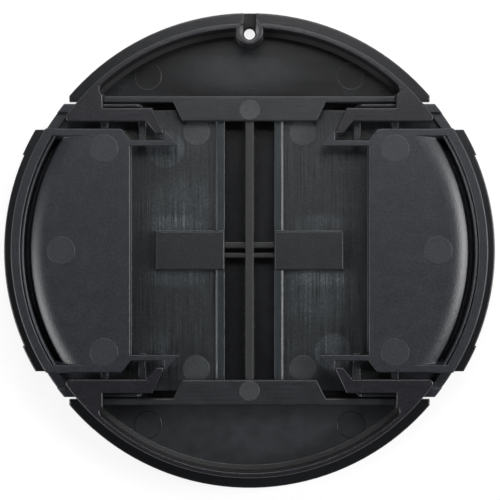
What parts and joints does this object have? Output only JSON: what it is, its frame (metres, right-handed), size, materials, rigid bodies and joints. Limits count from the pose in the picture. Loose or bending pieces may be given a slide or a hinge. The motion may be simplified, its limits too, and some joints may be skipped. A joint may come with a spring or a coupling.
{
  "type": "camera lens cap",
  "caption": "Round clip-in cap for the front of a camera lens: a moulded disc with opposed spring latches that are pinched inwards to release threaded lips from the lens.",
  "frame": {"origin": "middle of the front face of the disc, on which the cap lies with its lens side up", "axes": "+Z towards the lens, +X along the slide of the right latch, +Y towards the cord hole"},
  "size_m": [0.083, 0.0802, 0.0074],
  "materials": {
    "body_plastic": "black moulded ABS, fine spark-eroded grain",
    "latch_plastic": "black moulded ABS, fine spark-eroded grain on the finger wells and a smoother slide plate",
    "spring_steel": "drawn stainless spring wire"
  },
  "bodies": {
    "body": {"cap_body": "body_plastic", "right_spring": "spring_steel", "left_spring": "spring_steel"},
    "right_latch": {"right_latch": "latch_plastic"},
    "left_latch": {"left_latch": "latch_plastic"}
  },
  "joints": [
    {"name": "right_latch_slide", "type": "slide", "parent": "body", "child": "right_latch", "axis": [-1, 0, 0], "range_m": [0, 0.0034], "stiffness_N_per_m": 400, "springref_m": -0.004, "deforming": ["right_spring"]},
    {"name": "left_latch_slide", "type": "slide", "parent": "body", "child": "left_latch", "axis": [1, 0, 0], "range_m": [0, 0.0034], "stiffness_N_per_m": 400, "springref_m": -0.004, "deforming": ["left_spring"]}
  ]
}
